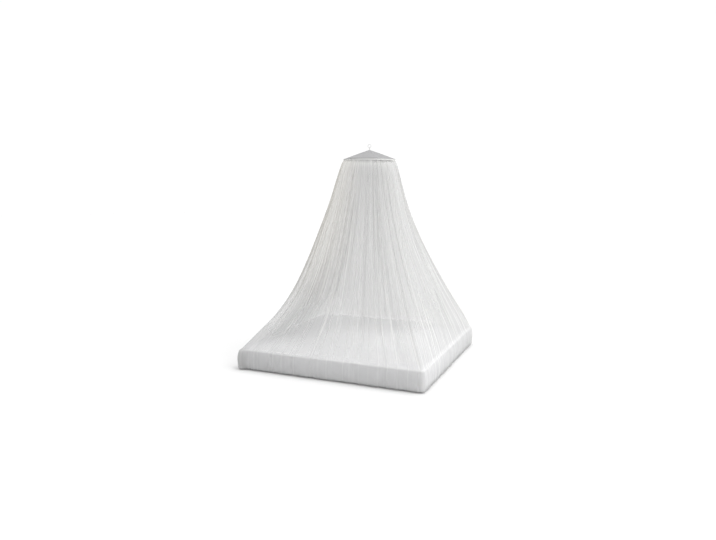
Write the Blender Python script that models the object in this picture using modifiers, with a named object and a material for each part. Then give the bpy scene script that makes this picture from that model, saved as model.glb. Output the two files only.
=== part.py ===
"""A bell-shaped mosquito net on a round hoop, falling over a mattress and tucked under it.

Metres, +Z up. The origin is on the floor under the middle of the mattress, +X is to the
right and -Y is the foot end, which faces the viewer. The net is one sheet: it hangs from
the binding of the hoop in a bell, bends over the rounded edge of the mattress, runs down
its sides and lies flat on the floor under its border.
"""

import math
import random
from collections import namedtuple

import bmesh
import bpy
from mathutils import Vector

OBJECT_NAME = "mosquito_net_canopy"

# Cloth
CLOTH = 0.0015  # thickness of every sheet
SEWN_GAP = 0.0004  # between pieces that are sewn or pressed together
EDGE_GAP = 0.0024  # between the draped net and the mattress

# Mattress
MATTRESS_SIDE = 2.000
MATTRESS_HEIGHT = 0.220
MATTRESS_CORNER = 0.030  # radius of the four upright corners
MATTRESS_EDGE = 0.025  # how far the rounding of the top and bottom edges reaches in
MATTRESS_BULGE = 0.020  # how far the sides stand out halfway up
MATTRESS_BOTTOM = CLOTH + SEWN_GAP  # it lies on the tucked border of the net
MATTRESS_TOP = MATTRESS_BOTTOM + MATTRESS_HEIGHT
SIDE_SLOPE = math.atan(MATTRESS_BULGE / (MATTRESS_HEIGHT / 2))
EDGE_RADIUS = MATTRESS_EDGE * math.tan(math.pi / 4 + SIDE_SLOPE / 2)
CORNER_STEPS = 4
EDGE_STEPS = 3

# Hoop and the binding folded over it
HOOP_CENTRE = Vector((0.050, 0.0, 2.208))
HOOP_RADIUS = 0.2775
HOOP_WIRE = 0.004
HOOP_STEPS = 40
SECTION_STEP = 30  # degrees between the corners of each round section at the hoop
BAND_SKIN = HOOP_WIRE + SEWN_GAP + CLOTH  # outer radius of the binding round the hoop wire
BAND_START = 150  # degrees, where the binding begins on the inner side of the hoop
BAND_DROP = 0.012  # how far the binding hangs below the middle of the hoop

# Crown
CROWN_TIP = 2.316
CROWN_TIP_RADIUS = 0.010
CROWN_SKIN = BAND_SKIN + SEWN_GAP + CLOTH
CROWN_FOLD = 0.005  # how far the crown's slack cloth stands in or out halfway down
CROWN_ROWS = (0.3, 0.6, 0.85)  # shares of the way from tip to hoop
CROWN_WAVES = ((5, 0.55, 0.4), (8, 0.30, 2.1), (11, 0.15, 4.4))  # count, share, phase

# Hanging loop and ring
LOOP_CORD = 0.0025
LOOP_BEND = 0.006
LOOP_HEIGHT = 0.030
LOOP_BEND_POINTS = 8
RING_RADIUS = 0.018
RING_WIRE = 0.002
RING_STEPS = 24
RING_SECTION_STEPS = 8
RING_IN_LOOP = 0.0010  # from the centre of the loop's top bend up to the ring's wire

# Skirt
FOLDS_PER_SIDE = 8
FOLD_SHAPE = (0.0, 0.85, 1.0)  # height of a fold at each third of its width
FOLD_WIDTHS = (0.65, 1.35)  # least and greatest, as shares of the mean
FOLD_DEPTHS = (0.40, 1.00)
CORNER_FOLD = (0.0, 0.5, 0.8, 0.5)  # height at each step round a mattress corner
SLACK_CORNER = 2  # the left corner of the foot end, where the net bags out
SLACK_SHAPE = (0.0, 0.30, 1.0, 0.30)  # how much of that bag there is at each step round it
FOLD_SEED = 12
TUCK = 0.100  # how far the net's border reaches in under the mattress
FULLER_SIDE = math.radians(23)  # direction in which the bell bulges most
SKIRT_TOP = 0.005  # below the middle of the hoop, inside the binding

Level = namedtuple("Level", "drop reach_lean reach_full fold")
# Levels of the hanging net: share of the drop from hoop to mattress, how far out it has
# come there on its leaner and on its fuller side, and the depth of the folds
HANGING = (
    Level(0.010, 0.014, 0.014, 0.006),
    Level(0.040, 0.034, 0.036, 0.012),
    Level(0.250, 0.158, 0.160, 0.022),
    Level(0.400, 0.262, 0.284, 0.028),
    Level(0.550, 0.372, 0.440, 0.032),
    Level(0.700, 0.505, 0.615, 0.034),
    Level(0.820, 0.660, 0.770, 0.030),
    Level(0.920, 0.845, 0.905, 0.020),
    Level(1.000, 1.000, 1.000, 0.010),
)

Wrap = namedtuple("Wrap", "place step fold slack")
# Bends of the net round the mattress, from the rounded top edge to the rounded bottom edge:
# the step of that rounding, counted from the mattress side, and the depth of the folds and
# of the bag at the slack corner
ARRIVAL_STEP = 1  # step of the top edge's rounding at which the hanging net meets it
WRAPPED = (
    Wrap("top edge", 0, 0.009, 0.004),
    Wrap("side", 0, 0.010, 0.027),
    Wrap("bottom edge", 0, 0.008, 0.022),
    Wrap("bottom edge", 1, 0.004, 0.010),
    Wrap("bottom edge", 2, 0.001, 0.002),
    Wrap("bottom edge", 3, 0.0, 0.0),
)

Station = namedtuple("Station", "hoop_angle foot outward fold slack")


def remove_everything():
    for item in list(bpy.data.objects):
        bpy.data.objects.remove(item, do_unlink=True)


def material(name, colour, roughness, metallic=0.0):
    made = bpy.data.materials.new(name)
    made.use_nodes = True
    shader = made.node_tree.nodes["Principled BSDF"]
    shader.inputs["Base Color"].default_value = (*colour, 1.0)
    shader.inputs["Roughness"].default_value = roughness
    shader.inputs["Metallic"].default_value = metallic
    return made


def add_object(name, data, finish, place=(0.0, 0.0, 0.0)):
    made = bpy.data.objects.new(name, data)
    made.location = place
    made.data.materials.append(finish)
    collection.objects.link(made)
    return made


def adopt_active(name, finish):
    """Names the primitive that was just added and moves it into the object's collection."""
    made = bpy.context.active_object
    made.name = name
    for old in list(made.users_collection):
        old.objects.unlink(made)
    collection.objects.link(made)
    made.data.materials.append(finish)
    made.data.shade_smooth()
    return made


def add_thickness(sheet):
    """Gives an open skin, which faces out, its thickness on the inner side."""
    wall = sheet.modifiers.new("thickness", "SOLIDIFY")
    wall.thickness = CLOTH
    wall.offset = -1.0
    wall.use_even_offset = True
    wall.use_quality_normals = True


def loft(name, rows, finish, closed_top=False):
    """A sheet through closed rows of points, top row first, each anticlockwise from above."""
    skin = bmesh.new()
    rings = [[skin.verts.new(point) for point in row] for row in rows]
    count = len(rows[0])
    for upper, lower in zip(rings, rings[1:]):
        for here in range(count):
            after = (here + 1) % count
            skin.faces.new((upper[here], lower[here], lower[after], upper[after]))
    if closed_top:
        skin.faces.new(rings[0])
    mesh = bpy.data.meshes.new(name)
    skin.to_mesh(mesh)
    skin.free()
    mesh.shade_smooth()
    sheet = add_object(name, mesh, finish)
    add_thickness(sheet)
    return sheet


def direction(degrees):
    turned = math.radians(degrees)
    return Vector((math.cos(turned), math.sin(turned), 0.0))


def mix(low, high, share):
    return low + (high - low) * share


# Mattress and hoop


def add_mattress(finish):
    """A block with round upright corners and full sides; Bevel rounds its other edges."""
    block = bmesh.new()
    bmesh.ops.create_cube(block, size=1.0)
    size = Vector((MATTRESS_SIDE, MATTRESS_SIDE, MATTRESS_HEIGHT))
    bmesh.ops.scale(block, vec=size, verts=block.verts)
    upright = [e for e in block.edges if abs(e.verts[0].co.z - e.verts[1].co.z) > 0.01]
    bmesh.ops.bevel(
        block,
        geom=upright,
        offset=MATTRESS_CORNER,
        offset_type="OFFSET",
        segments=CORNER_STEPS,
        profile=0.5,
        affect="EDGES",
    )
    whole = block.verts[:] + block.edges[:] + block.faces[:]
    level = bmesh.ops.bisect_plane(block, geom=whole, plane_co=(0, 0, 0), plane_no=(0, 0, 1))
    block.normal_update()
    for middle in [v for v in level["geom_cut"] if isinstance(v, bmesh.types.BMVert)]:
        middle.co += middle.normal * MATTRESS_BULGE
    mesh = bpy.data.meshes.new("mattress")
    block.to_mesh(mesh)
    block.free()
    place = (0.0, 0.0, MATTRESS_BOTTOM + MATTRESS_HEIGHT / 2)
    mattress = add_object("mattress", mesh, finish, place)
    rounding = mattress.modifiers.new("rounded edges", "BEVEL")
    rounding.width = MATTRESS_EDGE
    rounding.segments = EDGE_STEPS
    rounding.limit_method = "ANGLE"
    rounding.angle_limit = math.radians(60)
    return mattress


def add_hoop(finish):
    bpy.ops.mesh.primitive_torus_add(
        location=HOOP_CENTRE,
        major_radius=HOOP_RADIUS,
        minor_radius=HOOP_WIRE,
        major_segments=HOOP_STEPS,
        minor_segments=360 // SECTION_STEP,
    )
    return adopt_active("hoop", finish)


def round_hoop(skin, degrees):
    """Radius and height of a point round the hoop's wire, at that angle up from outside."""
    turned = math.radians(degrees)
    out = HOOP_RADIUS + skin * math.cos(turned)
    return out, HOOP_CENTRE.z + skin * math.sin(turned)


def add_rim_band(finish):
    """The binding is a hook-shaped profile over the hoop, turned once round its axis."""
    profile = [round_hoop(BAND_SKIN, a) for a in range(BAND_START, -1, -SECTION_STEP)]
    profile.append((HOOP_RADIUS + BAND_SKIN, HOOP_CENTRE.z - BAND_DROP))
    points = [(out, 0.0, height - HOOP_CENTRE.z) for out, height in profile]
    mesh = bpy.data.meshes.new("rim_band")
    mesh.from_pydata(points, [(i, i + 1) for i in range(len(points) - 1)], [])
    band = add_object("rim_band", mesh, finish, HOOP_CENTRE)
    turn = band.modifiers.new("turn", "SCREW")
    turn.steps = HOOP_STEPS
    turn.render_steps = HOOP_STEPS
    turn.merge_threshold = 0.0001
    add_thickness(band)
    return band


# Crown, loop and ring


def crown_slack(turn):
    """How far the slack cloth of the crown stands out there, from -1 to 1."""
    return sum(share * math.cos(count * turn + phase) for count, share, phase in CROWN_WAVES)


def crown_rows():
    shoulder = round_hoop(CROWN_SKIN, 2 * SECTION_STEP)
    hem = round_hoop(CROWN_SKIN, SECTION_STEP)
    tip = (CROWN_TIP_RADIUS, CROWN_TIP)
    levels = [(*tip, 0.0)]
    for share in CROWN_ROWS:
        out = mix(tip[0], shoulder[0], share)
        height = mix(tip[1], shoulder[1], share)
        levels.append((out, height, CROWN_FOLD * math.sin(math.pi * share)))
    levels += [(*shoulder, 0.0), (*hem, 0.0)]
    for out, height, fold in levels:
        row = []
        for step in range(HOOP_STEPS):
            turn = 2 * math.pi * step / HOOP_STEPS
            lift = height + fold * crown_slack(turn)
            row.append((HOOP_CENTRE.x + out * math.cos(turn), out * math.sin(turn), lift))
        yield row


def add_hanging_loop(finish):
    """A cord bent into an upright loop, seen edge on from the front, on the crown's tip."""
    low = SEWN_GAP + LOOP_CORD + LOOP_BEND
    high = SEWN_GAP + LOOP_HEIGHT - LOOP_CORD - LOOP_BEND
    points = []
    for centre, start in ((high, 0.0), (low, math.pi)):
        for step in range(LOOP_BEND_POINTS + 1):
            turn = start + math.pi * step / LOOP_BEND_POINTS
            across, up = LOOP_BEND * math.cos(turn), LOOP_BEND * math.sin(turn)
            points.append((0.0, across, centre + up))
    cord = bpy.data.curves.new("hanging_loop", "CURVE")
    cord.dimensions = "3D"
    cord.bevel_depth = LOOP_CORD
    cord.bevel_resolution = 2
    spline = cord.splines.new("POLY")
    spline.points.add(len(points) - 1)
    for target, point in zip(spline.points, points):
        target.co = (*point, 1.0)
    spline.use_cyclic_u = True
    return add_object("hanging_loop", cord, finish, (HOOP_CENTRE.x, 0.0, CROWN_TIP))


def add_hanging_ring(finish):
    """The ring stands upright and faces the front, with its lowest part inside the loop."""
    bend = CROWN_TIP + SEWN_GAP + LOOP_HEIGHT - LOOP_CORD - LOOP_BEND
    bpy.ops.mesh.primitive_torus_add(
        location=(HOOP_CENTRE.x, 0.0, bend + RING_IN_LOOP + RING_RADIUS),
        rotation=(math.pi / 2, 0.0, 0.0),
        major_radius=RING_RADIUS,
        minor_radius=RING_WIRE,
        major_segments=RING_STEPS,
        minor_segments=RING_SECTION_STEPS,
    )
    return adopt_active("hanging_ring", finish)


# Skirt


def fold_columns(draw):
    """(share along the side, fold height) for each column of one side's uneven folds."""
    widths = [draw.uniform(*FOLD_WIDTHS) for _ in range(FOLDS_PER_SIDE)]
    depths = [draw.uniform(*FOLD_DEPTHS) for _ in range(FOLDS_PER_SIDE)]
    start, whole, deepest = 0.0, sum(widths), max(depths)
    for width, depth in zip(widths, depths):
        for third, height in enumerate(FOLD_SHAPE):
            yield (start + width * third / 3) / whole, height * depth / deepest
        start += width


def stations():
    """Columns of the skirt, anticlockwise: where each leaves the hoop and meets the bed."""
    draw = random.Random(FOLD_SEED)
    straight = MATTRESS_SIDE - 2 * MATTRESS_CORNER
    arc = math.pi / 2 * MATTRESS_CORNER
    whole = straight + arc
    for side in range(4):
        facing = 90 * side
        outward, along = direction(facing), direction(facing + 90)
        for share, fold in fold_columns(draw):
            run = straight * (share - 0.5)
            foot = outward * MATTRESS_SIDE / 2 + along * run
            yield Station(facing + 90 * run / whole, foot, outward, fold, 0.0)
        centre = (outward + along) * straight / 2
        for step, (fold, slack) in enumerate(zip(CORNER_FOLD, SLACK_SHAPE)):
            share = step / CORNER_STEPS
            away = direction(facing + 90 * share)
            run = straight / 2 + arc * share
            foot = centre + away * MATTRESS_CORNER
            bag = slack if side == SLACK_CORNER else 0.0
            yield Station(facing + 90 * run / whole, foot, away, fold, bag)


def round_mattress(place, step):
    """Distance out from the mattress side and height of the net's outer skin there."""
    clear = EDGE_GAP + CLOTH
    if place == "side":
        return MATTRESS_BULGE + clear / math.cos(SIDE_SLOPE), MATTRESS_BOTTOM + MATTRESS_HEIGHT / 2
    turned = mix(SIDE_SLOPE, math.pi / 2, step / EDGE_STEPS)
    out = (EDGE_RADIUS + clear) * math.cos(turned) - MATTRESS_EDGE
    if place == "top edge":
        return out, MATTRESS_TOP - EDGE_RADIUS + (EDGE_RADIUS + clear) * math.sin(turned)
    return out, (MATTRESS_BOTTOM + EDGE_RADIUS) * (1 - math.sin(turned))


def at_hoop(column, out, height):
    place = direction(column.hoop_angle) * out
    return Vector((HOOP_CENTRE.x + place.x, place.y, height))


def fullness(degrees):
    """0 in the direction where the bell is leanest and 1 where it is fullest, eased between."""
    share = 0.5 + 0.5 * math.cos(math.radians(degrees) - FULLER_SIDE)
    return share * share * (3 - 2 * share)


def hanging_point(column, level):
    """Between hoop and mattress edge by the level's shares, then out by the fold."""
    reach = mix(level.reach_lean, level.reach_full, fullness(column.hoop_angle))
    edge_out, edge_height = round_mattress("top edge", ARRIVAL_STEP)
    foot = column.foot + column.outward * edge_out
    start = at_hoop(column, SKIRT_RADIUS, 0.0)
    place = mix(start, foot, reach)
    outward = mix(direction(column.hoop_angle), column.outward, reach).normalized()
    place += outward * column.fold * level.fold
    place.z = mix(HOOP_CENTRE.z, edge_height, level.drop)
    return place


def wrapped_point(column, wrap):
    out, height = round_mattress(wrap.place, wrap.step)
    out += column.fold * wrap.fold + column.slack * wrap.slack
    place = column.foot + column.outward * out
    place.z = height
    return place


def skirt_rows():
    columns = list(stations())
    for drop in (SKIRT_TOP, BAND_DROP + SEWN_GAP):
        yield [at_hoop(c, SKIRT_RADIUS, HOOP_CENTRE.z - drop) for c in columns]
    for level in HANGING:
        yield [hanging_point(c, level) for c in columns]
    for wrap in WRAPPED:
        yield [wrapped_point(c, wrap) for c in columns]
    yield [c.foot * (1 - 2 * TUCK / MATTRESS_SIDE) for c in columns]


# The skirt's top stands inside the flats of the binding's inner skin
SKIRT_RADIUS = (HOOP_RADIUS + BAND_SKIN - CLOTH) * math.cos(math.pi / HOOP_STEPS) - SEWN_GAP

remove_everything()
collection = bpy.data.collections.new(OBJECT_NAME)
bpy.context.scene.collection.children.link(collection)

net_white = material("white polyester netting", (0.72, 0.72, 0.72), 0.85)
crown_cloth = material("grey-white crown cloth", (0.56, 0.56, 0.57), 0.85)
binding = material("white cotton binding", (0.80, 0.80, 0.79), 0.9)
hoop_plastic = material("white hoop rod", (0.75, 0.75, 0.74), 0.5)
cord_white = material("white cord", (0.78, 0.78, 0.77), 0.9)
ring_paint = material("white painted ring", (0.70, 0.70, 0.70), 0.4)
ticking = material("white mattress cover", (0.80, 0.80, 0.82), 0.9)

add_mattress(ticking)
add_hoop(hoop_plastic)
add_rim_band(binding)
loft("crown", list(crown_rows()), crown_cloth, closed_top=True)
add_hanging_loop(cord_white)
add_hanging_ring(ring_paint)
loft("skirt", list(skirt_rows()), net_white)
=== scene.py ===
"""Looks of a bell-shaped mosquito net that hangs from a hoop and falls over a mattress.

Metres, +Z up. The origin is on the floor under the middle of the mattress, +X is to the
right and -Y is the foot end. Each soft piece is a surface worked out on a grid of two
parameters: "around" runs anticlockwise seen from above, and "down" from the top to the bottom.
"""

import math
import random
from collections import namedtuple

import bpy
import numpy as np
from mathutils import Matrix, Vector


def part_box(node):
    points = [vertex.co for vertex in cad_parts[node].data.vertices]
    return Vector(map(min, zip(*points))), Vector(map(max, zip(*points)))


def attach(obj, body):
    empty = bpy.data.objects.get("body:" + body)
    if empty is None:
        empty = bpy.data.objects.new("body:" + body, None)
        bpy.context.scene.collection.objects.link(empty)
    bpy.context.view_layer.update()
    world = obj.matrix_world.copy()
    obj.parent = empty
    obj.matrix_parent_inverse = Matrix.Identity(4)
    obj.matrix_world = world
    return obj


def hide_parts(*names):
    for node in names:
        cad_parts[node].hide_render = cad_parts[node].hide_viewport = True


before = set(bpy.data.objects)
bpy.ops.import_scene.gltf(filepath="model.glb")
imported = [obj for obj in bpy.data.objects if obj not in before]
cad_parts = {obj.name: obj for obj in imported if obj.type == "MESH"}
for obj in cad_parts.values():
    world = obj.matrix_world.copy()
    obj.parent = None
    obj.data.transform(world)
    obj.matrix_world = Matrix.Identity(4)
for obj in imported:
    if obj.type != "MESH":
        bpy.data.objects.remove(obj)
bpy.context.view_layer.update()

scene = bpy.context.scene

# Sizes from the CAD parts
HOOP_LOW, HOOP_HIGH = np.array(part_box("hoop"))
HOOP_CENTRE = (HOOP_LOW + HOOP_HIGH) / 2
HOOP_WIRE = (HOOP_HIGH[2] - HOOP_LOW[2]) / 2
HOOP_RADIUS = (HOOP_HIGH[0] - HOOP_LOW[0]) / 2 - HOOP_WIRE
BAND_LOW, BAND_HIGH = np.array(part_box("rim_band"))
CROWN_HIGH = np.array(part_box("crown")[1])
LOOP_LOW, LOOP_HIGH = np.array(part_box("hanging_loop"))
RING_LOW, RING_HIGH = np.array(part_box("hanging_ring"))
BED_LOW, BED_HIGH = np.array(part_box("mattress"))

# Mattress
BED_SIDE = 2.000
BED_CORNER = 0.030  # radius of the upright corners
BED_EDGE = 0.025  # how far the rounding of the top and bottom edges reaches in
BED_BULGE = 0.020  # how far the sides stand out halfway up
BED_TOP = BED_HIGH[2]
BED_BOTTOM = BED_LOW[2]
BED_HEIGHT = BED_TOP - BED_BOTTOM
BED_MIDDLE = BED_BOTTOM + BED_HEIGHT / 2
STRAIGHT = BED_SIDE - 2 * BED_CORNER
CORNER_ARC = math.pi / 2 * BED_CORNER
QUARTER = STRAIGHT + CORNER_ARC  # a quarter of the way round the mattress

# Net
NET_CLEAR = 0.0035  # from the mattress to the net
TUCK = 0.100  # how far the net's border reaches in under the mattress
TUCK_HEIGHT = BED_BOTTOM / 2  # of the net under the mattress
FULLER_SIDE = math.radians(23)  # direction in which the bell bulges most
NET_CUT = (8.4, 2.75)  # round the lower edge and from hoop to lower edge, before gathering


# Grids and curves


def smooth(x, knots, values):
    """Cubic through the knots that never swings past them.

    Its slope at a knot is the harmonic mean of the slopes of the two stretches that meet
    there, or level where one rises and the other falls.
    """
    knots, values = np.asarray(knots, float), np.asarray(values, float)
    rise = np.diff(values) / np.diff(knots)
    before, after = rise[:-1], rise[1:]
    same_way = before * after > 0
    middle = np.where(same_way, 2 * before * after / np.where(same_way, before + after, 1), 0)
    slopes = np.concatenate([rise[:1], middle, rise[-1:]])
    k = np.clip(np.searchsorted(knots, x, side="right") - 1, 0, len(knots) - 2)
    gap = knots[k + 1] - knots[k]
    t = (x - knots[k]) / gap
    start = (2 * t**3 - 3 * t**2 + 1) * values[k] + (t**3 - 2 * t**2 + t) * gap * slopes[k]
    end = (3 * t**2 - 2 * t**3) * values[k + 1] + (t**3 - t**2) * gap * slopes[k + 1]
    return start + end


def step(x, low, high):
    """0 up to low, 1 from high, eased between."""
    t = np.clip((x - low) / (high - low), 0, 1)
    return t * t * (3 - 2 * t)


def between(x, rise, fall):
    """0, then 1 from the end of the rise to the start of the fall, then 0 again, eased."""
    return step(x, *rise) * (1 - step(x, *fall))


def mix(low, high, share):
    """low at a share of 0, high at 1, and in a straight line between."""
    return low + (high - low) * share


def heading(degrees):
    """Ways of length 1 in plan, at those angles anticlockwise from the right."""
    turned = np.radians(degrees)
    return np.stack([np.cos(turned), np.sin(turned)], axis=-1)


def unit(vectors):
    """The same ways, each of length 1."""
    return vectors / np.linalg.norm(vectors, axis=-1, keepdims=True)


def at_heights(places, heights):
    """Points from places in plan and their heights."""
    return np.concatenate([places, np.broadcast_to(heights, places.shape[:-1])[..., None]], axis=-1)


def surface(name, points, finish, joined=(False, True), capped=(False, False), amounts=None):
    """Mesh of a grid points[down, around], with a UV map "cloth" of both shares.

    joined says which ways its last line meets the first. capped closes the first and the
    last row with triangles that meet in their middle.
    """
    down, around = points.shape[:2]
    rows = np.arange(down if joined[0] else down - 1)
    cols = np.arange(around if joined[1] else around - 1)
    row, col = (line.ravel() for line in np.meshgrid(rows, cols, indexing="ij"))
    corners = [(row, col), (row + 1, col), (row + 1, col + 1), (row, col + 1)]
    faces = np.stack([(r % down) * around + c % around for r, c in corners], axis=-1).tolist()
    places = [np.stack([np.stack([c / len(cols), 1 - r / len(rows)], -1) for r, c in corners], 1)]
    closed = [end for end, wanted in zip((0, down - 1), capped) if wanted]
    for number, end in enumerate(closed):
        here, after = (cols, (cols + 1) % around)[:: 1 if end == 0 else -1]
        middle = np.full_like(cols, down * around + number)
        faces += np.stack([middle, end * around + here, end * around + after], -1).tolist()
        height = 1 - end / len(rows)
        fan = [(cols + 0.5, height), (here, height), (after, height)]
        places.append(np.stack([np.stack([c / len(cols), 0 * c + h], -1) for c, h in fan], 1))
    mesh = bpy.data.meshes.new(name)
    middles = [points[end].mean(axis=0) for end in closed]
    mesh.from_pydata([*points.reshape(-1, 3), *middles], [], faces)
    spots = np.concatenate([place.ravel() for place in places])
    mesh.uv_layers.new(name="cloth").data.foreach_set("uv", spots)
    for title, values in (amounts or {}).items():
        spread = np.broadcast_to(values, (down, around))
        spread = np.append(spread, [spread[end].mean() for end in closed])
        mesh.attributes.new(title, "FLOAT", "POINT").data.foreach_set("value", spread)
    return piece(name, mesh, finish)


def piece(name, mesh, finish):
    """Smooth object of a mesh, with its finish, at the origin."""
    made = bpy.data.objects.new(name, mesh)
    mesh.materials.append(finish)
    mesh.shade_smooth()
    scene.collection.objects.link(made)
    return made


def stands_for(made, node):
    """Takes the place of a CAD node: hangs the piece on the root body and hides the node."""
    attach(made, "root")
    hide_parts(node)


# Materials


def colour(code):
    """Linear colour of an sRGB hex value."""
    parts = (int(code[i : i + 2], 16) / 255 for i in (1, 3, 5))
    return (*(c / 12.92 if c <= 0.04045 else ((c + 0.055) / 1.055) ** 2.4 for c in parts), 1.0)


def add_node(tree, kind, settings=None, links=None):
    """Adds a shader node, sets its properties or its inputs, and links its inputs from sockets."""
    node = tree.nodes.new("ShaderNode" + kind)
    for title, value in (settings or {}).items():
        if isinstance(title, str) and hasattr(node, title):
            setattr(node, title, value)
        else:
            node.inputs[title].default_value = value
    for title, socket in (links or {}).items():
        tree.links.new(socket, node.inputs[title])
    return node


def new_material(name):
    """Empty material and its node tree."""
    made = bpy.data.materials.new(name)
    made.use_nodes = True
    made.node_tree.nodes.clear()
    return made, made.node_tree


def finish_with(tree, shader):
    """Makes the shader the material's surface."""
    add_node(tree, "OutputMaterial", links={"Surface": shader.outputs[0]})


def attribute(tree, title):
    """The values of the mesh's attribute of that name."""
    return add_node(tree, "Attribute", {"attribute_name": title}).outputs["Fac"]


def ranged(tree, value, low, high):
    """low where the value is 0, high where it is 1, and in a straight line between."""
    return add_node(tree, "MapRange", {"To Min": low, "To Max": high}, {"Value": value}).outputs[0]


def two_tone(tree, tones, share):
    """Colour between two tones; the socket gives the second one's share."""
    ends = {"data_type": "RGBA", 6: colour(tones[0]), 7: colour(tones[1])}
    return add_node(tree, "Mix", ends, {0: share}).outputs[2]


def tinted(tree, tone, tint, share):
    """The tone multiplied by the tint; the socket says how much of that shows."""
    ends = {"data_type": "RGBA", "blend_type": "MULTIPLY", 7: colour(tint)}
    return add_node(tree, "Mix", ends, {0: share, 6: tone}).outputs[2]


def glowing(tree, lit, tone, share):
    """The lit cloth, of whose light that share goes through it instead, in its own tone."""
    through = add_node(tree, "BsdfTranslucent", links={"Color": tone})
    return add_node(tree, "MixShader", {0: share}, {1: lit.outputs[0], 2: through.outputs[0]})


def noise(tree, place, scale, detail, rough=0.5):
    """Random patches from 0 to 1, about as many to the metre as the scale says."""
    settings = {"Scale": scale, "Detail": detail, "Roughness": rough}
    return add_node(tree, "TexNoise", settings, {"Vector": place}).outputs["Fac"]


WAVE_BANDS = 20 / (2 * math.pi)  # in each metre of a wave texture of scale 1


def weave(tree, place, spacing):
    """Height of two crossed sets of threads that far apart, from 0 between to 1 on a thread."""
    scale = 1 / (WAVE_BANDS * spacing)
    bands = []
    for way in ("X", "Y"):
        settings = {"bands_direction": way, "Scale": scale, "Distortion": 0.3}
        bands.append(add_node(tree, "TexWave", settings, {"Vector": place}).outputs["Fac"])
    return add_node(tree, "Math", {"operation": "MAXIMUM"}, {0: bands[0], 1: bands[1]}).outputs[0]


# The net's holes of 1.5 mm are drawn 8 mm apart, the finest that shows from the camera
MESH_SPACING = 0.008
MESH_UNEVEN = 0.03  # by which the mesh raises and lowers the share of thread
THREAD_TONES = ("#C6C6C6", "#E5E5E4")  # at a white of 0 and of 1: the tones of painted shade and of painted light
WARM_TONE = "#FFFDF8"
THREAD_GLOW = 0.25  # share of the light on a thread that it lets through


def netting():
    """Knitted polyester net of thin matt threads.

    The eye sees a veil: clear where one layer hangs, whiter where more thread lies in the way.
    The attributes say how much of it is thread, how white that is, which carries painted light
    and painted shade, and how warm in tone.
    """
    made, tree = new_material("knitted polyester netting")
    # The white attribute is painted light and painted shade in the threads' tone
    tone = two_tone(tree, THREAD_TONES, attribute(tree, "white"))
    tone = tinted(tree, tone, WARM_TONE, attribute(tree, "warmth"))
    cloth = add_node(tree, "UVMap", {"uv_map": "cloth"})
    to_metres = {"Scale": (*NET_CUT, 1.0), "Rotation": (0.0, 0.0, math.radians(45))}
    metres = add_node(tree, "Mapping", to_metres, {"Vector": cloth.outputs[0]})
    mesh = weave(tree, metres.outputs[0], MESH_SPACING)
    uneven = ranged(tree, mesh, 1 - MESH_UNEVEN, 1 + MESH_UNEVEN)
    product = {"operation": "MULTIPLY", "use_clamp": True}
    cover = add_node(tree, "Math", product, {0: attribute(tree, "threads"), 1: uneven})
    matt = {"Roughness": 0.75, "Specular IOR Level": 0.2, "Sheen Weight": 0.15}
    lit = add_node(tree, "BsdfPrincipled", matt, {"Base Color": tone})
    yarn = glowing(tree, lit, tone, THREAD_GLOW)
    holes = add_node(tree, "BsdfTransparent")
    veil = {0: cover.outputs[0], 1: holes.outputs[0], 2: yarn.outputs[0]}
    finish_with(tree, add_node(tree, "MixShader", links=veil))
    return made


def dense_cloth(name, face, spacing, depth, translucence, border="#FFFFFF"):
    """Woven cloth: crossed threads that catch the light, with patches of tone of about 7 cm.

    face is its two tones, spacing and depth are its threads', and translucence is the share
    of light that it lets through. Where the mesh has an attribute "border", it is tinted with
    the border's colour.
    """
    made, tree = new_material(name)
    place = add_node(tree, "TexCoord").outputs["Object"]
    tone = two_tone(tree, face, noise(tree, place, 14.0, 3.0, 0.6))
    # On the mattress this tint is painted shade that greys its sides
    tone = tinted(tree, tone, border, attribute(tree, "border"))
    threads = weave(tree, place, spacing)
    relief = add_node(tree, "Bump", {"Strength": 0.4, "Distance": depth}, {"Height": threads})
    matt = {"Roughness": 0.85, "Specular IOR Level": 0.2, "Sheen Weight": 0.2}
    shown = {"Base Color": tone, "Normal": relief.outputs[0]}
    lit = add_node(tree, "BsdfPrincipled", matt, shown)
    if translucence:
        lit = glowing(tree, lit, tone, translucence)
    finish_with(tree, lit)
    return made


GLOSS_RANGE = 0.06  # by which the grain raises and lowers the roughness


def hard_finish(name, code, rough, grain, depth, coat=0.0):
    """Moulded or painted surface: a fine grain, in metres, in its gloss and its relief."""
    made, tree = new_material(name)
    place = add_node(tree, "TexCoord").outputs["Object"]
    grains = noise(tree, place, 1 / grain, 2.0)
    gloss = ranged(tree, grains, rough - GLOSS_RANGE, rough + GLOSS_RANGE)
    relief = add_node(tree, "Bump", {"Strength": 0.25, "Distance": depth}, {"Height": grains})
    paint = {"Base Color": colour(code), "Coat Weight": coat}
    shown = {"Roughness": gloss, "Normal": relief.outputs[0]}
    finish_with(tree, add_node(tree, "BsdfPrincipled", paint, shown))
    return made


def mattress_cotton():
    """Woven cotton: quite matt, a little cool, with painted shade that greys the sides against the top.

    Its threads of 0.5 mm are drawn 3 mm apart, the finest that shows.
    """
    tones = ("#E2E2E3", "#E7E7E8")
    # The border tint is painted shade on the sides
    return dense_cloth("cotton mattress cover", tones, 0.003, 0.0006, 0.0, "#F0F0F1")


def crown_polyester():
    """Dense polyester weave, a darker grey than the netting.

    Its threads of 0.3 mm are drawn 3 mm apart, the finest that shows.
    """
    return dense_cloth("dense polyester crown cloth", ("#A0A0A1", "#AAAAAB"), 0.003, 0.0005, 0.25)


def binding_cotton():
    """Woven cotton tape: whiter than the cloth above and below it, so it reads as a light line.

    Its threads of 0.4 mm are drawn 1.5 mm apart, the finest that shows close by.
    """
    return dense_cloth("cotton binding tape", ("#F2F2F0", "#F6F6F5"), 0.0015, 0.0003, 0.3)


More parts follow.
